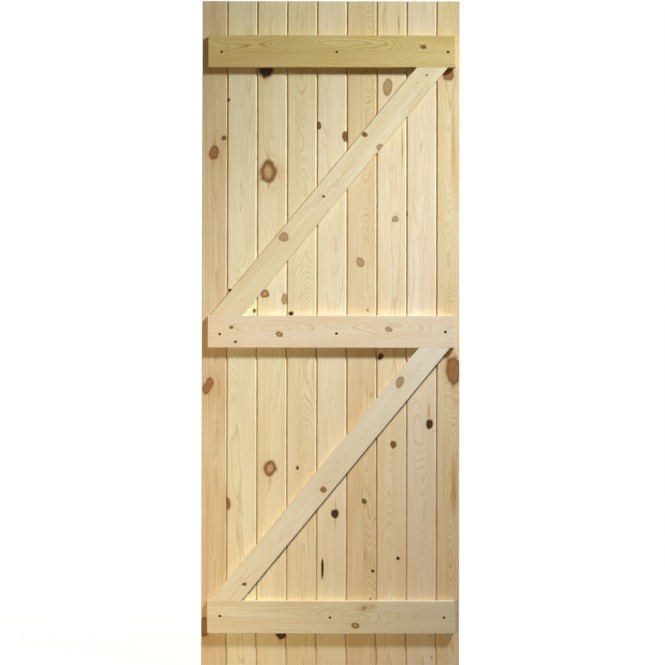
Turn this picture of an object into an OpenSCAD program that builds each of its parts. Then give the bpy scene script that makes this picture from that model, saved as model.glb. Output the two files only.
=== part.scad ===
// Ledged and braced gate: a leaf of tongued, grooved and V-jointed boards on three ledges,
// with two braces cut in between the ledges. Its ledge side faces -Y.
// Both braces rise from the hinge edge, at -X, to the latch edge, at +X.

/* [Leaf] */
// Width over the two outer edges
leaf_w = 762; // [610:1:990]
// Height
leaf_h = 1981; // [1650:1:2135]

/* [Boards] */
// Thickness of the boards
board_t = 14.5; // [13.5:0.5:22]
// Width that a whole board covers, from joint to joint
cover_w = 88.5; // [80:0.5:110]
// How far the row of whole boards is shifted towards the latch edge
row_shift = 2.75; // [-10:0.25:10]
// Gap left between the shoulders of two boards, for movement
joint_gap = 0.4; // [0:0.1:1.5]
// Width and depth of the chamfer that makes half a V, on both faces
vee = 4; // [1.5:0.25:4.5]
// Thickness of the tongue
tongue_t = 4.5; // [3:0.25:5.5]
// Length of the tongue beyond the shoulder
tongue_l = 6; // [4:0.5:9]
// Play between the tongue and its groove
tongue_play = 0.25; // [0.1:0.05:0.7]
// Eased corners of the tongue
tongue_ease = 0.8; // [0.2:0.1:1.4]

/* [Ledges] */
// Width of the ledges
ledge_w = 95; // [75:1:145]
// Thickness of the ledges and of the braces
ledge_t = 18; // [14:0.5:28]
// From the hinge edge of the leaf to the ends of the ledges
ledge_hinge_inset = 19; // [0:1:40]
// From the latch edge of the leaf to the ends of the ledges
ledge_latch_inset = 15; // [0:1:40]
// From the bottom of the leaf to the lower edge of the bottom ledge
bottom_inset = 113.5; // [60:0.5:260]
// From the top of the leaf to the upper edge of the top ledge
top_inset = 104.5; // [60:0.5:260]
// How far the middle ledge lies above half height
middle_lift = 11; // [-100:1:100]
// Eased edges of the ledges and braces, and of the leaf's two outer edges
arris = 1.2; // [0.4:0.1:3]

/* [Braces] */
// Width of the braces, square to their length
brace_w = 71; // [50:1:110]
// Upper brace: from the leaf's hinge edge to the outer corner of its foot
upper_foot_inset = 27.5; // [20:0.5:90]
// Upper brace: from the leaf's latch edge to the outer corner of its head
upper_head_inset = 36; // [20:0.5:90]
// Lower brace: from the leaf's hinge edge to the outer corner of its foot
lower_foot_inset = 26.5; // [20:0.5:90]
// Lower brace: from the leaf's latch edge to the outer corner of its head
lower_head_inset = 29; // [20:0.5:90]

/* [Screws through the ledges] */
// Diameter of the countersunk head
screw_head_d = 8; // [6:0.1:10]
// Diameter of the shank
screw_d = 4; // [3:0.1:5]
// How deep the heads are sunk below the face of the ledge
screw_sunk = 2.5; // [0:0.1:5]
// Wood left between a screw's point and the far face of the boards
screw_cover = 5; // [1:0.5:9]
// Top ledge: inset from its hinge end, shift of the middle screw, inset from its latch end
top_screw_x = [39, 15, 21]; // [-60:1:120]
// Middle ledge: its three screws in the same order
middle_screw_x = [35, 15, 28]; // [-60:1:120]
// Bottom ledge: its three screws in the same order
bottom_screw_x = [37, -3, 31]; // [-60:1:120]
// How far the top ledge's screws lie below its centre line
top_screw_drop = [2, 2, 2]; // [-10:1:10]
// How far the middle ledge's screws lie below its centre line
middle_screw_drop = [8, 6, 1]; // [-10:1:10]
// How far the bottom ledge's screws lie below its centre line
bottom_screw_drop = [-3, 1, 1]; // [-10:1:10]

/* [Nails through the boards] */
// Diameter of the shank
nail_d = 2.4; // [1.8:0.1:3.2]
// Diameter of the small head
nail_head_d = 3.6; // [2.8:0.1:5]
// How deep the heads are punched below the face of the boards
nail_sunk = 1; // [0:0.1:3]
// Wood left between a nail's point and the face of the ledge or brace
nail_cover = 3.5; // [1:0.5:8]
// From a board's edges, or a ledge's ends, to the nails
nail_edge = 24; // [15:1:34]
// Distance between a board's two nails in a ledge, along the board
nail_stagger = 46; // [36:1:60]
// From a brace's centre line to its nails, on either side by turns
brace_nail_side = 17; // [12:1:20]

/* [Brads through the braces] */
// Diameter of the shank
brad_d = 1.8; // [1.2:0.1:2.4]
// Diameter of the head
brad_head_d = 3; // [2.6:0.1:4]
// How deep the heads are punched below the face of the brace
brad_sunk = 1; // [0:0.1:3]
// Wood left between a brad's point and the far face of the boards
brad_cover = 6.5; // [1:0.5:10]
// From the ends of a brace to the pair of brads near each, along its centre line
brad_end_inset = 74; // [60:1:160]
// How far the middle pair is shifted towards the head of the brace
brad_mid_shift = 32; // [-80:1:80]
// Spacing of a pair along the brace
brad_pair_along = 18; // [6:1:40]
// Spacing of a pair across the brace
brad_pair_across = 12; // [0:1:14]

/* [Hidden] */
// Depths along Y: the ledges' face, their seat on the boards, and the boards' far face
depth = board_t + ledge_t;
face_y = -depth / 2;
seat_y = face_y + ledge_t;
back_y = depth / 2;

// Whole boards between two edge boards that are ripped to what is left of the width
hinge_x = -leaf_w / 2;
latch_x = leaf_w / 2;
board_count = ceil(leaf_w / cover_w);
first_joint_x = row_shift - (board_count - 2) * cover_w / 2;
function joint_x(i) =
    i == 0 ? hinge_x : i == board_count ? latch_x : first_joint_x + (i - 1) * cover_w;
function board_mid_x(i) = (joint_x(i - 1) + joint_x(i)) / 2;

// The tongue lies in the middle of a board's thickness
tongue_y0 = (seat_y + back_y - tongue_t) / 2;
tongue_y1 = tongue_y0 + tongue_t;

// The ledges: their ends, and the heights of their centre lines
ledge_x0 = hinge_x + ledge_hinge_inset;
ledge_x1 = latch_x - ledge_latch_inset;
ledge_mid_x = (ledge_x0 + ledge_x1) / 2;
top_z = leaf_h - top_inset - ledge_w / 2;
middle_z = leaf_h / 2 + middle_lift;
bottom_z = bottom_inset + ledge_w / 2;

// A brace lies as [outer x of its foot, outer x of its head, z of its foot, z of its head].
// Its two ends are cut level, so it fills a parallelogram.
upper_lie = [hinge_x + upper_foot_inset, latch_x - upper_head_inset,
             middle_z + ledge_w / 2, top_z - ledge_w / 2];
lower_lie = [hinge_x + lower_foot_inset, latch_x - lower_head_inset,
             bottom_z + ledge_w / 2, middle_z - ledge_w / 2];
function reach(lie) = lie[1] - lie[0];
function rise(lie) = lie[3] - lie[2];
function slope(lie) =
    atan2(rise(lie), reach(lie)) + asin(brace_w / norm([reach(lie), rise(lie)]));
function end_cut(lie) = brace_w / sin(slope(lie));
function brace_l(lie) = rise(lie) / sin(slope(lie));
// A place on a brace, from the middle of its foot: along it, and across it to the lower side
function on_brace(lie, along, across) =
    [lie[0] + end_cut(lie) / 2 + along * cos(slope(lie)) + across * sin(slope(lie)),
     lie[2] + along * sin(slope(lie)) - across * cos(slope(lie))];

// Places of the fastenings, as [x, z]
function screws_at(z, inset, drop) =
    [[ledge_x0 + inset[0], z - drop[0]],
     [ledge_mid_x + inset[1], z - drop[1]],
     [ledge_x1 - inset[2], z - drop[2]]];
top_screws = screws_at(top_z, top_screw_x, top_screw_drop);
middle_screws = screws_at(middle_z, middle_screw_x, middle_screw_drop);
bottom_screws = screws_at(bottom_z, bottom_screw_x, bottom_screw_drop);

function nails_at(z) =
    [for (i = [1:board_count]) each
        [[max(joint_x(i - 1), ledge_x0) + nail_edge, z + nail_stagger / 2],
         [min(joint_x(i), ledge_x1) - nail_edge, z - nail_stagger / 2]]];
function brace_nails_at(lie) =
    [for (i = [2:board_count - 1])
        let (across = i % 2 == 0 ? brace_nail_side : -brace_nail_side,
             foot = on_brace(lie, 0, across),
             along = (board_mid_x(i) - foot.x) / cos(slope(lie)),
             place = on_brace(lie, along, across))
        if (place.y > lie[2] + nail_edge && place.y < lie[3] - nail_edge) place];
function brads_at(lie) =
    [for (along = [brad_end_inset,
                   brace_l(lie) / 2 + brad_mid_shift,
                   brace_l(lie) - brad_end_inset],
          side = [-1, 1])
        on_brace(lie, along - side * brad_pair_along / 2, side * brad_pair_across / 2)];

// Clearance around a fastener in its hole, and how far a cut runs past a surface
hole_gap = 0.05;
over = 1;
// Straight rim of a fastener's head, and the length of its point over its diameter
head_rim = 0.4;
point_share = 1.5;
// The cross slot in a screw's head
slot_l = 4.6;
slot_w = 1;
slot_deep = 1.5;

// Tones of the timber, board by board from the hinge edge
board_tones = ["#D8B78A", "#E0CDA2", "#DFCBA4", "#E3D2AC", "#E2D0A6", "#E0CCA0", "#E4D3AE",
               "#E1CFA7", "#DFC597"];
ledge_tone = "#D9CB98";
brace_tone = "#E2D1AB";
screw_tone = "#3B3733";
nail_tone = "#8C8A86";

// Fastenings. Each is turned about Z with its head at the origin and its point up. With a gap
// and a mouth it becomes the hole that it sits in, open by the mouth's length above its head.
module fastener(head_d, shank_d, length, gap, mouth) {
    head_r = head_d / 2 + gap;
    shank_r = shank_d / 2 + gap;
    head_end = head_rim + head_r - shank_r;
    point_l = shank_d * point_share;
    rotate_extrude($fn = 24)
        polygon([[0, -mouth], [head_r, -mouth], [head_r, head_rim], [shank_r, head_end],
                 [shank_r, length + gap - point_l], [0, length + gap]]);
}

module screw(gap = 0, mouth = 0)
    fastener(screw_head_d, screw_d, depth - screw_sunk - screw_cover, gap, mouth);

module nail(gap = 0, mouth = 0)
    fastener(nail_head_d, nail_d, depth - nail_sunk - nail_cover, gap, mouth);

module brad(gap = 0, mouth = 0)
    fastener(brad_head_d, brad_d, depth - brad_sunk - brad_cover, gap, mouth);

// Stands what is driven in from the ledge side at its places, sunk below that face
module from_ledge_side(places, sunk)
    for (p = places) translate([p.x, face_y + sunk, p.y]) rotate([-90, 0, 0]) children();

// Stands what is driven in from the board side at its places, sunk below that face
module from_board_side(places, sunk)
    for (p = places) translate([p.x, back_y - sunk, p.y]) rotate([90, 0, 0]) children();

// All holes at the given places
module screw_holes(places)
    from_ledge_side(places, screw_sunk) screw(hole_gap, screw_sunk + over);

module nail_holes(places)
    from_board_side(places, nail_sunk) nail(hole_gap, nail_sunk + over);

module brad_holes(places)
    from_ledge_side(places, brad_sunk) brad(hole_gap, brad_sunk + over);

// Boards. A side is listed from one face to the other, the tongue's side from the seat to the
// far face, and the groove's side back again, so that the two make one closed outline.
function tongue_side(x) =
    [[x - vee, seat_y], [x, seat_y + vee], [x, tongue_y0],
     [x + tongue_l - tongue_ease, tongue_y0], [x + tongue_l, tongue_y0 + tongue_ease],
     [x + tongue_l, tongue_y1 - tongue_ease], [x + tongue_l - tongue_ease, tongue_y1],
     [x, tongue_y1], [x, back_y - vee], [x - vee, back_y]];

function groove_side(x) =
    let (groove_x = x + tongue_l + tongue_play)
    [[x + vee, back_y], [x, back_y - vee], [x, tongue_y1 + tongue_play],
     [groove_x, tongue_y1 + tongue_play], [groove_x, tongue_y0 - tongue_play],
     [x, tongue_y0 - tongue_play], [x, seat_y + vee], [x + vee, seat_y]];

hinge_side = [[hinge_x + arris, back_y], [hinge_x, back_y - arris],
              [hinge_x, seat_y + arris], [hinge_x + arris, seat_y]];
latch_side = [[latch_x - arris, seat_y], [latch_x, seat_y + arris],
              [latch_x, back_y - arris], [latch_x - arris, back_y]];

// The places that lie in board i, or so near its joints that their holes reach into it
function in_board(places, i) =
    let (reach_x = tongue_l + max(screw_head_d, nail_head_d, brad_head_d))
    [for (p = places) if (p.x > joint_x(i - 1) - reach_x && p.x < joint_x(i) + reach_x) p];

module board(i) {
    left = i == 1 ? hinge_side : groove_side(joint_x(i - 1) + joint_gap / 2);
    right = i == board_count ? latch_side : tongue_side(joint_x(i) - joint_gap / 2);
    color(board_tones[(i - 1) % len(board_tones)])
        difference() {
            linear_extrude(leaf_h) polygon(concat(right, left));
            screw_holes(in_board(concat(top_screws, middle_screws, bottom_screws), i));
            nail_holes(in_board(concat(nails_at(top_z), nails_at(middle_z), nails_at(bottom_z),
                                       brace_nails_at(upper_lie), brace_nails_at(lower_lie)), i));
            brad_holes(in_board(concat(brads_at(upper_lie), brads_at(lower_lie)), i));
        }
}

// Ledges and braces. Both are planed to one section, eased along the two edges that show.
module planed_length(width, length)
    rotate([90, 0, 90])
        linear_extrude(length, center = true)
            polygon([[seat_y, -width / 2], [seat_y, width / 2],
                     [face_y + arris, width / 2], [face_y, width / 2 - arris],
                     [face_y, -width / 2 + arris], [face_y + arris, -width / 2]]);

module ledge(z, screws)
    color(ledge_tone)
        difference() {
            translate([ledge_mid_x, 0, z]) planed_length(ledge_w, ledge_x1 - ledge_x0);
            screw_holes(screws);
            nail_holes(nails_at(z));
        }

module top_ledge() { ledge(top_z, top_screws); }
module middle_ledge() { ledge(middle_z, middle_screws); }
module bottom_ledge() { ledge(bottom_z, bottom_screws); }

// A brace is a planed length laid on the slope, whose ends are cut level along the ledges
module brace(lie) {
    middle = [(lie[0] + lie[1]) / 2, 0, (lie[2] + lie[3]) / 2];
    color(brace_tone)
        difference() {
            intersection() {
                translate(middle) rotate([0, -slope(lie), 0])
                    planed_length(brace_w, brace_l(lie) + 2 * end_cut(lie));
                translate(middle) cube([2 * reach(lie), 2 * depth, rise(lie)], center = true);
            }
            nail_holes(brace_nails_at(lie));
            brad_holes(brads_at(lie));
        }
}

module upper_brace() { brace(upper_lie); }
module lower_brace() { brace(lower_lie); }

// Countersunk screws, each with a cross slot
module screws(places)
    color(screw_tone)
        from_ledge_side(places, screw_sunk)
            difference() {
                screw();
                for (turn = [45, 135]) rotate([0, 0, turn])
                    translate([-slot_l / 2, -slot_w / 2, -over]) cube([slot_l, slot_w, slot_deep + over]);
            }

module top_ledge_screws() { screws(top_screws); }
module middle_ledge_screws() { screws(middle_screws); }
module bottom_ledge_screws() { screws(bottom_screws); }

// Brads that hold the braces, driven in from the ledge side
module brads(places) color(nail_tone) from_ledge_side(places, brad_sunk) brad();

module upper_brace_brads() { brads(brads_at(upper_lie)); }
module lower_brace_brads() { brads(brads_at(lower_lie)); }

// Lost-head nails that hold the boards, driven in from the board side
module nails(places) color(nail_tone) from_board_side(places, nail_sunk) nail();

module top_ledge_nails() { nails(nails_at(top_z)); }
module middle_ledge_nails() { nails(nails_at(middle_z)); }
module bottom_ledge_nails() { nails(nails_at(bottom_z)); }
module upper_brace_nails() { nails(brace_nails_at(upper_lie)); }
module lower_brace_nails() { nails(brace_nails_at(lower_lie)); }

for (i = [1:board_count]) board(i);
top_ledge();
middle_ledge();
bottom_ledge();
upper_brace();
lower_brace();
top_ledge_screws();
middle_ledge_screws();
bottom_ledge_screws();
upper_brace_brads();
lower_brace_brads();
top_ledge_nails();
middle_ledge_nails();
bottom_ledge_nails();
upper_brace_nails();
lower_brace_nails();
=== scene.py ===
import math

import bpy
import numpy as np
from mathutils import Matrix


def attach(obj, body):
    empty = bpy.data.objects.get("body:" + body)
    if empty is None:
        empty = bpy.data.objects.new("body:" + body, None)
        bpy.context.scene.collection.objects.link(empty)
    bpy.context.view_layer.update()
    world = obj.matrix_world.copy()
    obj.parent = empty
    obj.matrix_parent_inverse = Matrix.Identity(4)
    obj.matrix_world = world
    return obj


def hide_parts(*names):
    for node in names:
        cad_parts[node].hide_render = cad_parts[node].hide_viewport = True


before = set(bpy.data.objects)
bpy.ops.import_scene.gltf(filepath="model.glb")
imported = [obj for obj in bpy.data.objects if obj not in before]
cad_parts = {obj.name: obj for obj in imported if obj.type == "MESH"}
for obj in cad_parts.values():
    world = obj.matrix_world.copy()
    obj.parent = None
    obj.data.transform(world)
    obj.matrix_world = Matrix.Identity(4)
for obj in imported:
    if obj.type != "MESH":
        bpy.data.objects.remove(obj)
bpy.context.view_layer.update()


# View. The gate is seen square on from 4.4 m in front of its ledge side, through a long lens
# that stands just below half height, looks up by half a degree and is not quite upright.
look_up = 0.508
lean = -0.09
camera = bpy.data.objects.new("view", bpy.data.cameras.new("view"))
camera.data.sensor_fit = "HORIZONTAL"
camera.data.sensor_width = 36
camera.data.lens = 80.56
camera.location = (0.0056, -4.4, 0.96)
camera.rotation_euler = (math.radians(90 + look_up), math.radians(lean), 0)
bpy.context.scene.collection.objects.link(camera)
bpy.context.scene.camera = camera
bpy.context.scene.view_settings.view_transform = "Standard"


# Boards. Nine upright planed pine boards, tongued and grooved into each other, with a V where
# two faces meet. Seven are whole and the two at the edges are ripped to width. All sizes are in
# millimetres: x across the gate, y from the ledge side to the board side, z up.
mm = 0.001
leaf_height = 1981
hinge_x, latch_x = -381, 381
face_y, seat_y, back_y = -16.25, 1.75, 16.25
board_count = 9
cover = 88.5
first_joint = -307
inner_joints = [first_joint + cover * i for i in range(board_count - 1)]
joints = [hinge_x] + inner_joints + [latch_x]
joint_gap = 0.4
vee = 4
tongue_y = (6.75, 11.25)
tongue_reach = 6
tongue_ease = 0.8
tongue_play = 0.25
arris = 1.2
arris_round, vee_round, joint_round = 0.4, 0.6, 0.3
board_end_ease = 0.6


def eased(corners, radii, steps=3):
    """Outline with eased corners. A corner P becomes the curve (1-t)^2 S + 2t(1-t) P + t^2 E,
    where S and E lie on its two sides, at its radius from P."""
    corners = np.array(corners, float)
    radii = np.broadcast_to(np.array(radii, float), len(corners))[:, None]
    before = np.roll(corners, 1, axis=0) - corners
    after = np.roll(corners, -1, axis=0) - corners
    start = corners + radii * before / np.linalg.norm(before, axis=1)[:, None]
    end = corners + radii * after / np.linalg.norm(after, axis=1)[:, None]
    t = np.linspace(0, 1, steps + 1)[None, :, None]
    curve = (1 - t) ** 2 * start[:, None] + 2 * t * (1 - t) * corners[:, None] + t**2 * end[:, None]
    return curve.reshape(-1, 2)


def turned(points, lie):
    """Points given as (across, depth, along) of a length of timber, laid where it lies: turned
    about the depth axis, so that along leans from z towards x, and moved to its middle."""
    middle, turn = lie
    sine, cosine = math.sin(turn), math.cos(turn)
    across, depth, along = points[..., 0], points[..., 1], points[..., 2]
    laid = np.stack([across * cosine + along * sine, depth, along * cosine - across * sine], -1)
    return laid + np.array(middle, float)


def planed(name, outline, first, last, ease, lie):
    """Closed surface of a planed length. Point (s, t) is point s of the outline, at the distance
    t along, which runs from first to last, each a number or one for every point of the outline.
    Towards both ends it is drawn in by ease * (1 - sqrt(1 - (1 - d)^2)), d being the distance
    to the end divided by the ease."""
    side = np.roll(outline, -1, axis=0) - outline
    out = np.stack([side[:, 1], -side[:, 0]], -1) / np.linalg.norm(side, axis=1)[:, None]
    out = out + np.roll(out, 1, axis=0)
    out = out / np.linalg.norm(out, axis=1)[:, None]
    d = np.array([0, 0.25, 1.0, 1.0, 0.25, 0])
    drawn = ease * (1 - np.sqrt(1 - (1 - d) ** 2))
    from_first = np.array([1, 1, 1, 0, 0, 0])[:, None]
    ends = from_first * np.broadcast_to(first, len(outline)) + (1 - from_first) * np.broadcast_to(
        last, len(outline)
    )
    along = ends + ease * d[:, None] * (2 * from_first - 1)
    section = outline[None] - drawn[:, None, None] * out[None]
    points = np.concatenate([section, along[..., None]], axis=2)
    return closed_mesh(name, turned(points, lie)[None])


def closed_mesh(name, rings):
    """Mesh of closed tubes. Point (k, i, j) is point j of ring i of tube k. Four neighbours make
    a face, and the first and last ring of each tube are capped."""
    tubes, count, round_count = rings.shape[:3]
    index = np.arange(tubes * count * round_count).reshape(tubes, count, round_count)
    ahead = np.roll(index, -1, axis=2)
    quads = np.stack([index[:, :-1], ahead[:, :-1], ahead[:, 1:], index[:, 1:]], -1).reshape(-1, 4)
    caps = np.concatenate([index[:, 0, ::-1], index[:, -1]])
    mesh = bpy.data.meshes.new(name)
    mesh.from_pydata(rings.reshape(-1, 3) * mm, [], quads.tolist() + caps.tolist())
    mesh.validate()
    piece = bpy.data.objects.new(name, mesh)
    bpy.context.scene.collection.objects.link(piece)
    return piece


# The fastenings' holes: diameter of head and shank, how deep the head is sunk, length, and the
# face that they are driven from
hole_sizes = {
    "screws": (8, 4, 2.5, 25, face_y),
    "brads": (3, 1.8, 1, 25, face_y),
    "nails": (3.6, 2.4, 1, 28, back_y),
}
# The play all round, the straight rim of a head, the torn rim where the wood is broken, the
# point's length in shank diameters and its radius, and what a cutter stands out of the wood
hole_gap = 0.05
head_rim = 0.4
torn_rim = 0.5
point_share = 1.5
point_radius = 0.1
cutter_over = 1
hole_sides = 24


def driven_at(node):
    """Places (x, z) of a node's fastenings in millimetres, read from their points."""
    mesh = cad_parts[node].data
    points = np.empty(3 * len(mesh.vertices))
    mesh.vertices.foreach_get("co", points)
    points = points.reshape(-1, 3) / mm
    tip = points[:, 1].min() if "nails" in node else points[:, 1].max()
    at_tip = abs(points[:, 1] - tip) < 0.01
    return np.unique(points[at_tip][:, [0, 2]].round(2), axis=0)


def holes(node, low_x, high_x):
    """Tubes for the holes of a node's fastenings between two x. Point (k, i, j) of them lies
    at the radius of profile point i about the axis of fastening k, at the angle j."""
    head, shank, sunk, length, face = hole_sizes[node.split("_")[-1]]
    head_r, shank_r = head / 2 + hole_gap, shank / 2 + hole_gap
    head_end = sunk + head_rim + head_r - shank_r
    tip = sunk + length + hole_gap
    profile = np.array([
        (head_r + torn_rim, -cutter_over), (head_r + torn_rim, 0), (head_r, torn_rim),
        (head_r, sunk + head_rim), (shank_r, head_end), (shank_r, tip - point_share * shank),
        (point_radius, tip),
    ])
    places = driven_at(node)
    places = places[(places[:, 0] > low_x - head) & (places[:, 0] < high_x + head)]
    into = 1 if face == face_y else -1
    profile = profile[::into]
    angle = np.linspace(0, 2 * math.pi, hole_sides, endpoint=False)
    radius, depth = profile[:, :1], face + into * profile[:, 1:]
    x = places[:, 0, None, None] + radius * np.sin(angle)
    z = places[:, 1, None, None] + radius * np.cos(angle)
    return np.stack([x, np.broadcast_to(depth, x.shape[1:]) + 0 * x, z], -1)


soft_angle = 35
small_face = 5


def bored(piece, tubes):
    """Cuts the tubes out of a piece for good. Its planed faces are flat, and the small faces of
    the holes and the eased edges run smoothly into each other, up to the soft angle."""
    for rings in tubes:
        if len(rings):
            cutter = closed_mesh("cutter", rings)
            cut = piece.modifiers.new("hole", "BOOLEAN")
            cut.object = cutter
            cut.solver = "EXACT"
            whole = piece.evaluated_get(bpy.context.evaluated_depsgraph_get())
            mesh = bpy.data.meshes.new_from_object(whole)
            piece.modifiers.remove(cut)
            piece.data = mesh
            bpy.data.objects.remove(cutter)
    piece.data.set_sharp_from_angle(angle=math.radians(soft_angle))
    areas = np.empty(len(piece.data.polygons))
    piece.data.polygons.foreach_get("area", areas)
    piece.data.polygons.foreach_set("use_smooth", areas < (small_face * mm) ** 2)


class Value:
    """A socket of a finish. Python's operators on it add Math nodes."""

    def __init__(self, finish, socket):
        self.finish = finish
        self.socket = socket

    def maths(self, operation, *values):
        """Adds a Math node that works on values and sockets."""
        return self.finish.add(
            "ShaderNodeMath", {"operation": operation}, dict(enumerate(values))
        )

    def __add__(self, other):
        return self.maths("ADD", self, other)

    def __sub__(self, other):
        return self.maths("SUBTRACT", self, other)

    def __rsub__(self, other):
        return self.maths("SUBTRACT", other, self)

    def __mul__(self, other):
        return self.maths("MULTIPLY", self, other)

    def __truediv__(self, other):
        return self.maths("DIVIDE", self, other)

    def __rpow__(self, other):
        return self.maths("POWER", other, self)

    __radd__ = __add__
    __rmul__ = __mul__


class Finish:
    """The nodes of a material, a lamp or the room, and the one method that adds a node."""

    def __init__(self, owner):
        self.owner = owner
        owner.use_nodes = True
        self.tree = owner.node_tree

    def add(self, kind, settings, sockets, out=0):
        """Adds a node of a kind. Its settings come first, and a ramp's stops are (place, colour).
        Its sockets take values or links, and the output that is named comes back."""
        node = self.tree.nodes.new(kind)
        for name, setting in settings.items():
            if name == "stops":
                ramp = node.color_ramp
                ramp.elements.remove(ramp.elements[1])
                ramp.elements[0].position = setting[0][0]
                ramp.elements[0].color = setting[0][1]
                for place, colour in setting[1:]:
                    ramp.elements.new(place).color = colour
            else:
                setattr(node, name, setting)
        for name, given in sockets.items():
            if isinstance(given, Value):
                self.tree.links.new(given.socket, node.inputs[name])
            else:
                node.inputs[name].default_value = given
        return Value(self, node.outputs[out])

    def vector(self, operation, *given, out=0):
        """Adds a Vector Math node. Its output 0 is a vector and 1 a number."""
        return self.add(
            "ShaderNodeVectorMath", {"operation": operation}, dict(enumerate(given)), out
        )

    def mix(self, share, a, b, blend="MIX"):
        """Colour a with a share of colour b, blended in the way that is named."""
        return self.add(
            "ShaderNodeMix", {"data_type": "RGBA", "blend_type": blend}, {0: share, 6: a, 7: b}, 2
        )

    def noise(self, spot, size, shift, detail=2.0, out=0, normalize=True):
        """Smooth noise whose grains have a size in millimetres along each axis, from 0 to 1, or
        from -1 to 1 where it isn't normalized."""
        shift = (shift, 1.7 * shift, 2.3 * shift)
        scaled = self.vector("MULTIPLY_ADD", spot, tuple(1 / s for s in size), shift)
        sockets = {"Vector": scaled, "Scale": 1.0, "Detail": detail}
        return self.add("ShaderNodeTexNoise", {"normalize": normalize}, sockets, out)

    def set(self, **sockets):
        """Puts values or links on the shader's sockets."""
        for name, given in sockets.items():
            socket = self.tree.nodes["Principled BSDF"].inputs[name.replace("_", " ")]
            if isinstance(given, Value):
                self.tree.links.new(given.socket, socket)
            else:
                socket.default_value = given


def tone(red, green, blue, share=1.0):
    """A colour as a screen shows it, from 0 to 255, as the light that it stands for."""
    shown = np.array([red, green, blue]) / 255
    light = np.where(shown > 0.04045, ((shown + 0.055) / 1.055) ** 2.4, shown / 12.92)
    return (*light.tolist(), share)


# Cut across, a knot goes from its pith through brown heartwood to a rim of bark. The stops
# give its colour, and how far it hides the wood, from its middle to knot_end of its radii.
knot_end = 1.5
knot_colours = {
    "brown": [
        (0.0, tone(130, 88, 52)), (0.12, tone(172, 125, 79)), (0.42, tone(172, 124, 79)),
        (0.56, tone(150, 106, 66)), (0.65, tone(126, 89, 54, 0.85)),
        (0.74, tone(178, 142, 98, 0.4)), (0.92, tone(212, 182, 134, 0.0)),
    ],
    "ringed": [
        (0.0, tone(164, 122, 84)), (0.08, tone(220, 186, 146)), (0.24, tone(203, 168, 127)),
        (0.4, tone(173, 133, 89)), (0.53, tone(146, 106, 65)), (0.64, tone(130, 95, 57, 0.9)),
        (0.75, tone(170, 136, 94, 0.45)), (0.92, tone(210, 182, 136, 0.0)),
    ],
    "pale": [
        (0.0, tone(156, 124, 86)), (0.1, tone(197, 171, 131)), (0.46, tone(189, 162, 123)),
        (0.58, tone(171, 143, 105, 0.95)), (0.66, tone(158, 128, 91, 0.8)),
        (0.73, tone(196, 165, 121, 0.3)), (0.85, tone(216, 187, 141, 0.0)),
    ],
    "small": [
        (0.0, tone(103, 77, 37)), (0.15, tone(129, 102, 58)), (0.42, tone(133, 107, 63)),
        (0.58, tone(112, 86, 44)), (0.67, tone(124, 94, 50, 0.85)),
        (0.76, tone(174, 142, 90, 0.35)), (0.9, tone(206, 172, 118, 0.0)),
    ],
    "dark": [
        (0.0, tone(52, 22, 8)), (0.2, tone(88, 52, 24)), (0.4, tone(68, 37, 15)),
        (0.56, tone(42, 19, 6)), (0.64, tone(58, 32, 12, 0.9)), (0.74, tone(126, 91, 50, 0.5)),
        (0.95, tone(194, 155, 98, 0.0)),
    ],
}
# How strongly the resin round a knot of each kind shows, times the least share of it, with what
# each millimetre of the knot adds, up to the most
knot_halos = {"brown": 0.9, "ringed": 0.8, "pale": 0.25, "small": 0.3, "dark": 0.6}
halo_least, halo_growth, halo_most = 0.04, 0.014, 0.3
# How far the fibres part at a knot, as a share of their distance to it
parting = 0.8
# Across a year's ring the wood darkens slowly from spring to autumn, and then starts afresh
ring_shades = [
    (0.0, (0, 0, 0, 1)), (0.4, (0.04, 0.04, 0.04, 1)), (0.68, (0.3, 0.3, 0.3, 1)),
    (0.84, (1, 1, 1, 1)), (0.93, (0.7, 0.7, 0.7, 1)), (1.0, (0, 0, 0, 1)),
]
# What the dark side of a ring, the resin round a knot and the painted shade in the depth of a joint
# leave of the light
autumn_wood = (0.62, 0.46, 0.27, 1)
resin = (0.74, 0.50, 0.24, 1)
joint_shade = (0.6, 0.47, 0.32, 1)
# The painted shade in a joint starts at the first depth below a face and is darkest from the second
joint_shade_depths = (2.6, 4)
# Sizes of the wood's waves and grains across, into and along the piece, and how far each wave
# moves the fibres
short_waves, short_moves = (24, 24, 90), (1.6, 1.5, 6)
long_waves, long_moves = (80, 60, 420), (7, 6, 24)
patch_grain, streak_grain, fibre_grain = (34, 30, 260), (3.2, 3.2, 380), (0.9, 0.9, 30)
fading_grain = (30, 30, 240)
ragged_grain, mottled_grain = (18, 18, 18), (4, 4, 6)
# How much the fibres, and the rings and mottling of a knot, darken what they lie in
fibre_shade, knot_ring_shade, mottled_shade = 0.14, 0.3, 0.4
# Rings to the radius of a knot, its slant, and its reach right through the timber
knot_rings, knot_slant, knot_through = 4.2, 0.14, 10000
# Roughness of planed wood, what the fibres add and a knot takes off it, its sheen, and how
# strongly and how deep the grain is felt
planed_rough, fibre_rough, knot_smooth = 0.55, 0.12, 0.12
planed_sheen = 0.2
grain_strength, grain_depth = 0.08, 0.3


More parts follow.
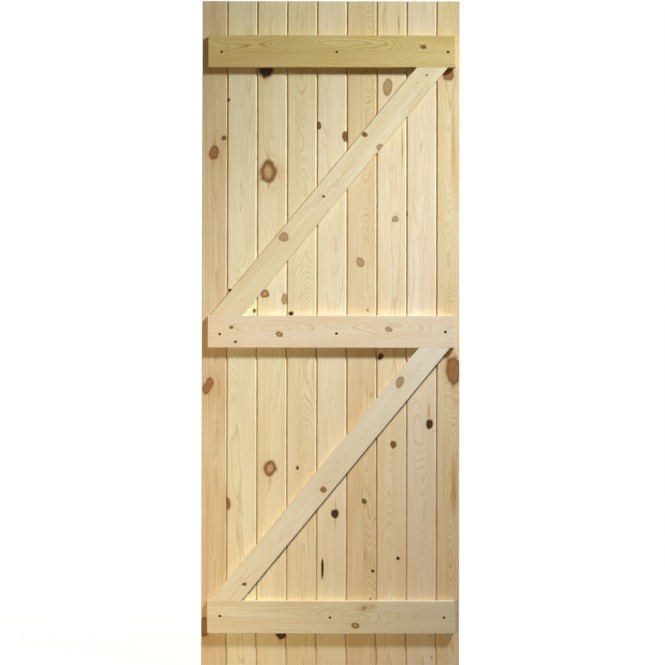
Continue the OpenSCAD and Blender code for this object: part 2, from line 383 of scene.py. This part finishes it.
def pine(
    name, lie, pale, tan, pith, depth, ring, depth_of_ring, seed, figures=(), knots=(), stains=(),
    painted_joint_shade=None,
):
    """Solid pine, worked out in millimetres across, into and along the piece.
    The year's rings are shells round the pith, a wandering line that lies at a depth behind the
    face and passes behind the places listed: their number is the distance to it over the width
    of a ring. A figure adds height * exp(-q^2) to that number, q being the distance along to its
    middle over its reach, which draws arches. Past a knot the fibres part, by a share of their
    distance to it. A knot's own colour follows the distance to its middle over its radius. A
    stain darkens the wood by share * exp(-q^2). A piece with painted shade in its joints is given
    the two depths of that painted shade and its own thickness.
    dust and its own thickness."""
    finish = Finish(bpy.data.materials.new(name))
    middle, turn = lie
    spot = finish.add(
        "ShaderNodeMapping", {"vector_type": "TEXTURE"},
        {
            "Vector": finish.add("ShaderNodeTexCoord", {}, {}, "Object"),
            "Location": tuple(mm * m for m in middle), "Rotation": (0, turn, 0),
            "Scale": (mm, mm, mm),
        },
    )
    sine, cosine = math.sin(turn), math.cos(turn)

    def local(x, z):
        """A place on the gate's face, as the piece's own (across, 0, along)."""
        x, z = x - middle[0], z - middle[2]
        return (x * cosine - z * sine, 0.0, x * sine + z * cosine)

    def bump(at, reach_across, reach_along):
        """exp(-q^2) about a place of the piece. A reach across of 0 makes it run right across."""
        scale = (1 / reach_across if reach_across else 0.0, 0.0, 1 / reach_along)
        shift = tuple(-a * s for a, s in zip(at, scale))
        q = finish.vector("MULTIPLY_ADD", bent, scale, shift)
        return math.exp(-1) ** finish.vector("DOT_PRODUCT", q, q, out=1)

    def ring_shade(number):
        """How dark the wood is at a number of rings, by its part after the whole ones."""
        shade = finish.add(
            "ShaderNodeValToRGB", {"stops": ring_shades}, {0: number.maths("FRACT", number)}
        )
        return finish.add("ShaderNodeSeparateColor", {}, {0: shade})

    # The fibres wander a little, in long and in short waves, and part at the knots
    short_wave = finish.noise(spot, short_waves, seed + 5.3, out=1, normalize=False)
    bent = finish.vector("MULTIPLY_ADD", short_wave, short_moves, spot)
    long_wave = finish.noise(spot, long_waves, seed, out=1, normalize=False)
    flow = finish.vector("MULTIPLY_ADD", long_wave, long_moves, bent)
    glow = None
    for x, z, rx, rz, tilt, kind in knots:
        size = math.sqrt(rx * rz)
        around = bump(local(x, z), 1.5 * size + 4, 2.4 * size + 12)
        apart = finish.vector("MULTIPLY_ADD", bent, (1, 0, 0), (-local(x, z)[0], 0, 0))
        apart = finish.vector("SCALE", apart)
        finish.tree.links.new((around * -parting).socket, apart.socket.node.inputs["Scale"])
        flow = finish.vector("ADD", flow, apart)
        halo = min(halo_most, halo_least + halo_growth * size)
        heat = around * (knot_halos[kind] * halo)
        glow = heat if glow is None else glow + heat
    for x, z, reach_across, reach_along, share in stains:
        heat = bump(local(x, z), reach_across, reach_along) * share
        glow = heat if glow is None else glow + heat

    # Number of the ring
    places = sorted((local(x, z) for x, z in pith), key=lambda place: place[2])
    shell = finish.vector("MULTIPLY_ADD", flow, (1, 1, 0), (-places[0][0], -depth, 0))
    along = finish.add("ShaderNodeSeparateXYZ", {}, {0: flow}, 2)
    for before, after in zip(places, places[1:]):
        aside = finish.add(
            "ShaderNodeMapRange", {"interpolation_type": "SMOOTHSTEP"},
            {0: along, 1: before[2], 2: after[2], 3: 0.0, 4: before[0] - after[0]},
        )
        shell = finish.vector("ADD", shell, finish.add("ShaderNodeCombineXYZ", {}, {0: aside}))
    number = finish.vector("LENGTH", shell, out=1) / ring
    for x, z, reach, height in figures:
        number = bump(local(x, z), 0, reach) * height + number

    # Wood. Some rings are stronger than others, and every one fades here and there.
    patches = finish.noise(spot, patch_grain, seed + 9.1, detail=3.0)
    streaks = finish.noise(spot, streak_grain, seed + 2.7, detail=3.0)
    fibres = finish.noise(spot, fibre_grain, seed + 4.2)
    wood = finish.mix(finish.add(
        "ShaderNodeMapRange", {}, {0: patches * 0.55 + streaks * 0.45, 1: 0.36, 2: 0.64}
    ), pale, tan)
    strength = finish.add(
        "ShaderNodeTexNoise", {"noise_dimensions": "1D"}, {"W": number * 0.6, "Scale": 1.0}
    )
    fading = finish.noise(spot, fading_grain, seed + 7.7)
    strength = finish.add(
        "ShaderNodeMapRange", {},
        {0: strength * 0.6 + fading * 0.4, 1: 0.36, 2: 0.62, 3: 0.25, 4: 1.0},
    )
    autumn = ring_shade(number) * strength
    wood = finish.mix(autumn * depth_of_ring, wood, autumn_wood, "MULTIPLY")
    wood = finish.mix(fibres * fibre_shade, wood, autumn_wood, "MULTIPLY")
    if glow is not None:
        wood = finish.mix(glow.maths("MINIMUM", glow, 1.0), wood, resin, "MULTIPLY")

    # Knots
    ragged = finish.noise(spot, ragged_grain, seed + 3.3, detail=1.0) * 0.5 - 0.25
    mottled = finish.noise(spot, mottled_grain, seed + 6.6)
    hidden = None
    for kind, stops in knot_colours.items():
        nearest = None
        for x, z, rx, rz, tilt, its_kind in knots:
            if its_kind == kind:
                q = finish.add(
                    "ShaderNodeMapping", {"vector_type": "TEXTURE"},
                    {
                        "Vector": bent, "Location": local(x, z),
                        "Rotation": (knot_slant, math.radians(tilt) - turn, 0),
                        "Scale": (rx, knot_through, rz),
                    },
                )
                distance = finish.vector("LENGTH", q, out=1)
                if nearest is not None:
                    distance = nearest.maths("MINIMUM", nearest, distance)
                nearest = distance
        if nearest is not None:
            nearest = nearest + ragged
            colour = finish.add("ShaderNodeValToRGB", {"stops": stops}, {0: nearest / knot_end})
            cover = Value(finish, colour.socket.node.outputs["Alpha"])
            rings = ring_shade(nearest * knot_rings + fibres)
            colour = finish.mix(rings * knot_ring_shade, colour, autumn_wood, "MULTIPLY")
            colour = finish.mix(mottled * mottled_shade, colour, autumn_wood, "MULTIPLY")
            wood = finish.mix(cover, wood, colour)
            hidden = cover if hidden is None else hidden.maths("MAXIMUM", hidden, cover)
    # Painted shade for the V joints: the wood darkens wherever it lies deeper than the first depth
    # below either face, fully from the second
    if painted_joint_shade is not None:
        into = finish.add("ShaderNodeSeparateXYZ", {}, {0: spot}, 1)
        into = into.maths("MINIMUM", into, painted_joint_shade[2] - into)
        shade_share = finish.add("ShaderNodeMapRange", {}, {0: into, 1: painted_joint_shade[0], 2: painted_joint_shade[1]})
        wood = finish.mix(shade_share, wood, joint_shade, "MULTIPLY")

    height = autumn * 0.5 + fibres
    rough = fibres * fibre_rough + planed_rough
    if hidden is not None:
        height = height - hidden * 0.4
        rough = rough - hidden * knot_smooth
    finish.set(
        Base_Color=wood,
        Roughness=rough,
        Specular_IOR_Level=planed_sheen,
        Normal=finish.add(
            "ShaderNodeBump", {},
            {"Strength": grain_strength, "Distance": mm * grain_depth, "Height": height},
        ),
    )
    return finish.owner


# Each board: paler and darker tone of its wood, the places that its pith passes behind (x, z)
# and how deep, the width of a ring, the strength of the rings, and its marks.
# Figures: x, z, reach along, height in rings. Stains: x, z, reach across and along, share.
# Knots: x, z, half width, half height, lean in degrees, kind.
board_looks = [
    dict(
        pale=tone(232, 219, 187), tan=tone(218, 193, 152),
        pith=[(-345, 95), (-338, 800), (-336, 1643)],
        depth=22, ring=2.9, depth_of_ring=0.6, seed=11.0,
        figures=[(-336, 1700, 90, 4), (-345, 60, 60, -5)],
        knots=[
            (-316, 1574, 6.8, 6.8, 0, "small"), (-347, 1530, 13.5, 21.5, 15, "brown"),
            (-362, 840, 13.5, 22, 25, "brown"), (-374, 128, 15, 27, 0, "brown"),
        ],
    ),
    dict(
        pale=tone(243, 240, 213), tan=tone(235, 226, 188),
        pith=[(-263, 200), (-280, 850), (-263, 1300), (-240, 1900)],
        depth=40, ring=3.2, depth_of_ring=0.42, seed=22.0,
        figures=[(-280, 1010, 150, 6)],
        knots=[
            (-303, 1684, 3, 4.4, 0, "dark"), (-298, 1123, 4.4, 4.4, 0, "dark"),
            (-225, 1064, 4.4, 5.9, 0, "small"), (-305, 491, 10, 19, 0, "brown"),
        ],
    ),
    dict(
        pale=tone(244, 238, 208), tan=tone(235, 221, 180),
        pith=[(-200, 200), (-150, 1000), (-185, 1800)],
        depth=44, ring=3.2, depth_of_ring=0.42, seed=33.0,
        figures=[(-178, 1480, 60, 2), (-178, 560, 60, 2)],
        knots=[
            (-193, 1779, 19, 24, 0, "dark"), (-185, 1474, 23.5, 29, 0, "ringed"),
            (-195, 1112, 12, 11, 0, "ringed"), (-137, 1095, 9, 15, 0, "pale"),
            (-178, 598, 16.5, 21, 0, "ringed"), (-146, 109, 14, 14, 0, "dark"),
        ],
        stains=[
            (-178, 562, 5, 20, 0.6), (-190, 1752, 5, 14, 0.5), (-185, 1436, 5, 16, 0.4),
            (-185, 1514, 6, 16, 0.4), (-150, 1474, 14, 26, 0.3), (-148, 88, 3, 12, 0.6),
        ],
    ),
    dict(
        pale=tone(241, 232, 199), tan=tone(233, 217, 174),
        pith=[(-80, 500), (-69, 1095), (-77, 1200), (-84, 1480), (-90, 1900)],
        depth=36, ring=3.2, depth_of_ring=0.5, seed=44.0,
        figures=[
            (-84, 1560, 110, 6), (-77, 1270, 130, 7), (-69, 1070, 50, -3), (-78, 640, 120, -8),
        ],
        knots=[(-118, 1057, 6.8, 5.9, 0, "dark"), (-98, 599, 4.4, 5.4, 0, "small")],
    ),
    dict(
        pale=tone(244, 234, 207), tan=tone(237, 222, 185),
        pith=[(-30, 200), (10, 1200), (-40, 1900)],
        depth=52, ring=3.2, depth_of_ring=0.32, seed=55.0,
        knots=[
            (-37, 1613, 7.4, 10, 0, "small"), (43, 1579, 9, 14, 0, "small"),
            (14, 464, 9.8, 11.5, 0, "dark"), (-22.5, 303, 3.5, 25, 0, "dark"),
        ],
        stains=[(14, 490, 3, 18, 0.6), (14, 440, 3, 18, 0.6)],
    ),
    dict(
        pale=tone(238, 223, 188), tan=tone(227, 203, 154),
        pith=[(113, 300), (106, 1330), (108, 1730), (111, 1950)],
        depth=26, ring=2.9, depth_of_ring=0.62, seed=66.0,
        figures=[(111, 2010, 80, 6), (108, 1730, 60, -4), (106, 1400, 90, 5), (113, 330, 110, 6)],
        knots=[
            (87, 1208, 10.7, 14.2, 0, "pale"), (109, 1065, 3, 3, 0, "brown"),
            (100, 499, 7, 7, 0, "small"), (125, 296, 4.4, 4.4, 0, "dark"),
            (119, 214, 3, 3, 0, "brown"),
        ],
        stains=[(91, 854, 7, 9, 0.3), (121, 816, 7, 9, 0.5), (103, 340, 3, 20, 0.8)],
    ),
    dict(
        pale=tone(242, 230, 199), tan=tone(235, 216, 175),
        pith=[(172, 480), (190, 1200), (160, 1900)],
        depth=40, ring=3.1, depth_of_ring=0.42, seed=77.0,
        figures=[(172, 560, 110, 6)],
        knots=[
            (167, 1728, 13.3, 24, 4, "pale"), (191, 1335, 9.6, 9.6, 0, "pale"),
            (148, 929, 8.3, 8.6, 0, "dark"), (186, 668, 8, 9.5, 0, "small"),
            (200, 333, 5.6, 5.6, 0, "dark"),
        ],
        stains=[(200, 1916, 2.0, 28, 1.6), (211, 1551, 2.4, 56, 1.2)],
    ),
    dict(
        pale=tone(242, 231, 207), tan=tone(235, 218, 183),
        pith=[(278, 300), (250, 1000), (275, 1800)],
        depth=44, ring=3.1, depth_of_ring=0.4, seed=88.0,
        figures=[(278, 460, 110, 5), (292, 700, 80, -3)],
        knots=[
            (224, 1351, 3, 10.4, 0, "dark"), (292, 728, 10, 14, 0, "dark"),
            (298, 43, 2.4, 2.4, 0, "brown"), (295, 102, 2.4, 2.4, 0, "brown"),
        ],
        stains=[(290, 766, 3.5, 22, 1.0)],
    ),
    dict(
        pale=tone(239, 226, 190), tan=tone(230, 205, 153),
        pith=[(357, 400), (360, 900), (346, 1300), (350, 1900)],
        depth=24, ring=3.0, depth_of_ring=0.6, seed=99.0,
        figures=[(345, 1340, 60, 6), (359, 1069, 50, 5), (363, 790, 60, -5), (359, 330, 110, -6)],
        knots=[(348, 1764, 15.7, 19.2, 0, "brown"), (363, 888, 20, 40, 0, "brown")],
        stains=[(362, 1554, 6, 120, 0.7), (365, 521, 9, 62, 0.9), (365, 600, 8, 50, 0.4)],
    ),
]


def whole_edge(x, toward):
    """A ripped and planed outer edge, listed from one face to the other. Toward is 1 where the
    outline goes up from the seat to the back, and -1 where it comes down."""
    inner = x - toward * arris
    edge = [(inner, seat_y), (x, seat_y + arris), (x, back_y - arris), (inner, back_y)]
    return edge[::toward], [arris_round] * 4


def tongue_edge(x):
    """The tongue's side, from the seat to the back."""
    low, high = tongue_y
    tip = x + tongue_reach
    edge = [
        (x - vee, seat_y), (x, seat_y + vee), (x, low), (tip - tongue_ease, low),
        (tip, low + tongue_ease), (tip, high - tongue_ease), (tip - tongue_ease, high),
        (x, high), (x, back_y - vee), (x - vee, back_y),
    ]
    return edge, [vee_round] + [joint_round] * 8 + [vee_round]


def groove_edge(x):
    """The groove's side, from the back to the seat."""
    low, high = tongue_y[0] - tongue_play, tongue_y[1] + tongue_play
    bed = x + tongue_reach + tongue_play
    edge = [
        (x + vee, back_y), (x, back_y - vee), (x, high), (bed, high), (bed, low), (x, low),
        (x, seat_y + vee), (x + vee, seat_y),
    ]
    return edge, [vee_round] + [joint_round] * 6 + [vee_round]


fastenings = [
    "top_ledge_screws", "middle_ledge_screws", "bottom_ledge_screws", "upper_brace_brads",
    "lower_brace_brads", "top_ledge_nails", "middle_ledge_nails", "bottom_ledge_nails",
    "upper_brace_nails", "lower_brace_nails",
]
for i, looks in enumerate(board_looks):
    number = i + 1
    if i == 0:
        left, left_ease = whole_edge(hinge_x, -1)
    else:
        left, left_ease = groove_edge(joints[i] + joint_gap / 2)
    if number == board_count:
        right, right_ease = whole_edge(latch_x, 1)
    else:
        right, right_ease = tongue_edge(joints[i + 1] - joint_gap / 2)
    middle_x = (joints[i] + joints[i + 1]) / 2
    outline = eased(right + left, right_ease + left_ease) - np.array([middle_x, seat_y])
    lie = ((middle_x, seat_y, 0), 0)
    board = planed(f"matchboard_{number}", outline, 0, leaf_height, board_end_ease, lie)
    bored(board, [holes(node, joints[i], joints[i + 1]) for node in fastenings])
    # The boards get painted shade in the depth of their V joints
    wood = pine(f"board_pine_{number}", lie, painted_joint_shade=(*joint_shade_depths, back_y - seat_y), **looks)
    board.data.materials.append(wood)
    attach(board, "root")
    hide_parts(f"board_{number}")


# Ledges. Three planed pine cross pieces, eased along the edges that show. They lie on the boards,
# which are nailed to them from the board side and screwed to them from this side.
ledge_ends = (-362, 366)
ledge_width = 95
ledge_thick = 18
ledge_ease = 0.6
ledge_end_ease = 0.5
face_round, seat_round = 0.25, 0.1
ledge_heights = {"top": 1829, "middle": 1001.5, "bottom": 161}
ledge_looks = {
    "top": dict(
        pale=tone(225, 207, 150), tan=tone(212, 189, 122),
        pith=[(-362, 1838), (-60, 1850), (366, 1846)],
        depth=22, ring=3.0, depth_of_ring=0.95, seed=131.0,
        figures=[(-190, 1850, 110, 14), (-330, 1850, 100, 11), (272, 1846, 62, 12)],
        knots=[(273, 1842, 7, 5.4, 0, "small")],
    ),
    "middle": dict(
        pale=tone(241, 231, 208), tan=tone(235, 215, 180), pith=[(-362, 1010), (366, 1010)],
        depth=44, ring=3.1, depth_of_ring=0.42, seed=142.0,
        figures=[(180, 1010, 120, -4), (-150, 1010, 110, -3)],
        knots=[
            (-294, 1013, 6, 4.4, 0, "small"), (-281, 970, 4.6, 4.4, 0, "small"),
            (-154, 993, 8, 7.4, 0, "ringed"), (170, 1008, 10, 7.4, 0, "pale"),
        ],
    ),
    "bottom": dict(
        pale=tone(234, 232, 208), tan=tone(225, 213, 175), pith=[(-362, 180), (366, 160)],
        depth=44, ring=3.1, depth_of_ring=0.42, seed=153.0,
        figures=[(92, 165, 110, -5)],
        knots=[(101, 189, 7, 5, 0, "pale"), (73, 137, 10.6, 8, 0, "ringed")],
        stains=[(98, 188, 11, 24, 0.6), (126, 193, 7, 11, 0.5)],
    ),
}


def section(width):
    """Outline of a planed length: its face at depth 0, its seat behind it."""
    half = width / 2
    ease = ledge_ease
    corners = [
        (-half + ease, 0), (half - ease, 0), (half, ease), (half, ledge_thick),
        (-half, ledge_thick), (-half, ease),
    ]
    return eased(corners, [face_round] * 3 + [seat_round] * 2 + [face_round])


for which, height in ledge_heights.items():
    node = f"{which}_ledge"
    middle_x = sum(ledge_ends) / 2
    half_length = (ledge_ends[1] - ledge_ends[0]) / 2
    lie = ((middle_x, face_y, height), math.pi / 2)
    outline = section(ledge_width)
    ledge = planed(f"{node}_rail", outline, -half_length, half_length, ledge_end_ease, lie)
    bored(ledge, [holes(f"{node}_{kind}", *ledge_ends) for kind in ("screws", "nails")])
    ledge.data.materials.append(pine(f"{node}_pine", lie, **ledge_looks[which]))
    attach(ledge, "root")
    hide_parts(node)


# Braces. Two planed pine lengths of the ledges' thickness, cut level at both ends to stand
# between the ledges. Both rise from the hinge edge, and are held by pairs of brads.
brace_width = 71
brace_end_ease = 0.1
brace_lies = {"upper": (-353.5, 345, 1049, 1781.5), "lower": (-354.5, 352, 208.5, 954)}
brace_looks = {
    "upper": dict(
        pale=tone(241, 232, 201), tan=tone(231, 216, 176), pith=[(-330, 1080), (320, 1760)],
        depth=50, ring=3.0, depth_of_ring=0.36, seed=164.0,
        knots=[
            (99, 1581, 7.4, 7.4, 0, "small"), (146, 1546, 10.4, 11, 0, "pale"),
            (-22, 1400, 4.4, 2.7, 0, "dark"), (-138, 1279, 12.7, 12.7, 0, "pale"),
            (282, 1758, 2.8, 2.8, 0, "dark"),
        ],
        stains=[(262, 1699, 2.5, 2.5, 0.4)],
    ),
    "lower": dict(
        pale=tone(243, 240, 221), tan=tone(234, 223, 192), pith=[(-310, 220), (360, 900)],
        depth=50, ring=3.0, depth_of_ring=0.36, seed=175.0,
        knots=[
            (201, 850, 10.5, 16, 20, "pale"), (-19, 537, 8.7, 8.7, 0, "brown"),
            (-251.5, 258.5, 5.6, 5, 0, "small"),
        ],
    ),
}
for which, (foot_x, head_x, foot_z, head_z) in brace_lies.items():
    node = f"{which}_brace"
    reach, rise = head_x - foot_x, head_z - foot_z
    slope = math.atan2(rise, reach) + math.asin(brace_width / math.hypot(reach, rise))
    lie = (((foot_x + head_x) / 2, face_y, (foot_z + head_z) / 2), math.pi / 2 - slope)
    outline = section(brace_width)
    level = outline[:, 0] / math.tan(slope)
    half_length = rise / 2 / math.sin(slope)
    first, last = level - half_length, level + half_length
    brace = planed(f"{node}_strut", outline, first, last, brace_end_ease, lie)
    bored(brace, [holes(f"{node}_{kind}", foot_x, head_x) for kind in ("brads", "nails")])
    brace.data.materials.append(pine(f"{node}_pine", lie, **brace_looks[which]))
    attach(brace, "root")
    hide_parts(node)


# Fastenings. Black countersunk screws hold the ledges, and bright steel nails and brads the
# boards and braces. They keep the shapes that they have in the frame, and get a metal finish.
drawing_marks = (0.5, 4, 0.5)
mark_shade, mark_rough = 0.6, 0.2


def steel(name, colour, roughness):
    """Metal with faint drawing marks: noise moves its tone and its roughness."""
    finish = Finish(bpy.data.materials.new(name))
    place = finish.add("ShaderNodeTexCoord", {}, {}, "Object")
    spot = finish.vector("SCALE", place)
    spot.socket.node.inputs["Scale"].default_value = 1 / mm
    marks = finish.noise(spot, drawing_marks, 3.0, detail=3.0)
    finish.set(
        Base_Color=finish.mix(marks, colour, tuple(mark_shade * c for c in colour[:3]) + (1,)),
        Roughness=marks * mark_rough + roughness,
        Metallic=1.0,
    )
    return finish.owner


steels = {
    "screws": steel("black_steel", tone(92, 78, 54), 0.5),
    "brads": steel("bright_steel", tone(134, 120, 96), 0.45),
}
steels["nails"] = steels["brads"]
for node in fastenings:
    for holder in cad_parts[node].material_slots:
        holder.material = steels[node.split("_")[-1]]


# Room. A pale floor that the camera sees as white. The light comes from high on the right, in a
# wide beam and a closer one from the same place, with a warm soft fill from low on the left, one
# lamp behind for the board side, and a little light from all round.
def seen_white(finish, surface, white):
    """Shows plain white where the camera, a mirror or glass looks, and the surface elsewhere."""
    path = finish.add("ShaderNodeLightPath", {}, {}, "Is Camera Ray")
    outputs = path.socket.node.outputs
    seen = path.maths("MAXIMUM", path, Value(finish, outputs["Is Glossy Ray"]))
    seen = seen.maths("MAXIMUM", seen, Value(finish, outputs["Is Transmission Ray"]))
    return finish.add("ShaderNodeMixShader", {}, {0: seen, 1: surface, 2: white})


floor_half = 6.0
shadow_near, shadow_far = 0.5, 1.6
floor_mesh = bpy.data.meshes.new("floor")
floor_mesh.from_pydata(
    [(-floor_half, -floor_half, 0), (floor_half, -floor_half, 0), (floor_half, floor_half, 0),
     (-floor_half, floor_half, 0)],
    [], [(0, 1, 2, 3)],
)
floor = bpy.data.objects.new("floor", floor_mesh)
bpy.context.scene.collection.objects.link(floor)
floor_finish = Finish(bpy.data.materials.new("floor_paint"))
plain = floor_finish.add("ShaderNodeBsdfDiffuse", {}, {"Color": (0.13, 0.11, 0.09, 1)})
glow = floor_finish.add("ShaderNodeEmission", {}, {"Color": (1, 1, 1, 1), "Strength": 0.9})
shaded = floor_finish.add("ShaderNodeBsdfDiffuse", {}, {"Color": (0.25, 0.25, 0.25, 1)})
near = floor_finish.add("ShaderNodeAddShader", {}, {0: glow, 1: shaded})
far = floor_finish.add("ShaderNodeEmission", {}, {"Color": (1, 1, 1, 1), "Strength": 1.0})
spot = floor_finish.add("ShaderNodeTexCoord", {}, {}, "Object")
away = floor_finish.add(
    "ShaderNodeMapRange", {"interpolation_type": "SMOOTHSTEP"},
    {0: floor_finish.vector("LENGTH", spot, out=1), 1: shadow_near, 2: shadow_far},
)
white = floor_finish.add("ShaderNodeMixShader", {}, {0: away, 1: near, 2: far})
floor_finish.tree.links.new(
    seen_white(floor_finish, plain, white).socket,
    floor_finish.tree.nodes["Material Output"].inputs["Surface"],
)
floor_mesh.materials.append(floor_finish.owner)

world = bpy.data.worlds.new("room")
bpy.context.scene.world = world
room = Finish(world)
dim = room.add("ShaderNodeBackground", {}, {"Color": (1.9, 1.1, 0.2, 1), "Strength": 0.065})
bright = room.add("ShaderNodeBackground", {}, {"Color": (1, 1, 1, 1), "Strength": 1.0})
room.tree.links.new(
    seen_white(room, dim, bright).socket, room.tree.nodes["World Output"].inputs["Surface"]
)


def lamp(name, kind, place, aim, colour, power, **settings):
    """Lamp of a kind at a place, aimed at a point."""
    data = bpy.data.lights.new(name, kind)
    data.color = colour
    data.energy = power
    for key, value in settings.items():
        setattr(data, key, value)
    light = bpy.data.objects.new(name, data)
    bpy.context.scene.collection.objects.link(light)
    light.location = place
    direction = np.array(place, float) - np.array(aim, float)
    side = math.atan2(direction[0], -direction[1])
    drop = math.atan2(math.hypot(direction[0], direction[1]), direction[2])
    light.rotation_euler = (drop, 0, side)
    return light


key_place = (1.6, -1.2, 3.07)
lamp(
    "key", "SPOT", key_place, (-2.3, 0, -4.0), (0.93, 1.0, 1.18), 322,
    spot_size=math.radians(65.9), spot_blend=0.78, shadow_soft_size=0.22,
)
lamp(
    "key_middle", "SPOT", key_place, (-0.66, 0, 1.18), (0.93, 0.996, 0.93), 257,
    spot_size=math.radians(54.7), spot_blend=1.0, shadow_soft_size=0.22,
)
lamp(
    "fill", "SPOT", (-1.31, -2.2, 0.32), (-2.13, 0, -0.58), (1.357, 1.014, 0.53), 142,
    spot_size=math.radians(160.4), spot_blend=1.0, shadow_soft_size=0.3,
)
lamp(
    "behind", "AREA", (0.8, 3.2, 2.0), (0, 0, 1.0), (1.0, 0.98, 0.94), 70, shape="DISK", size=2.0,
)
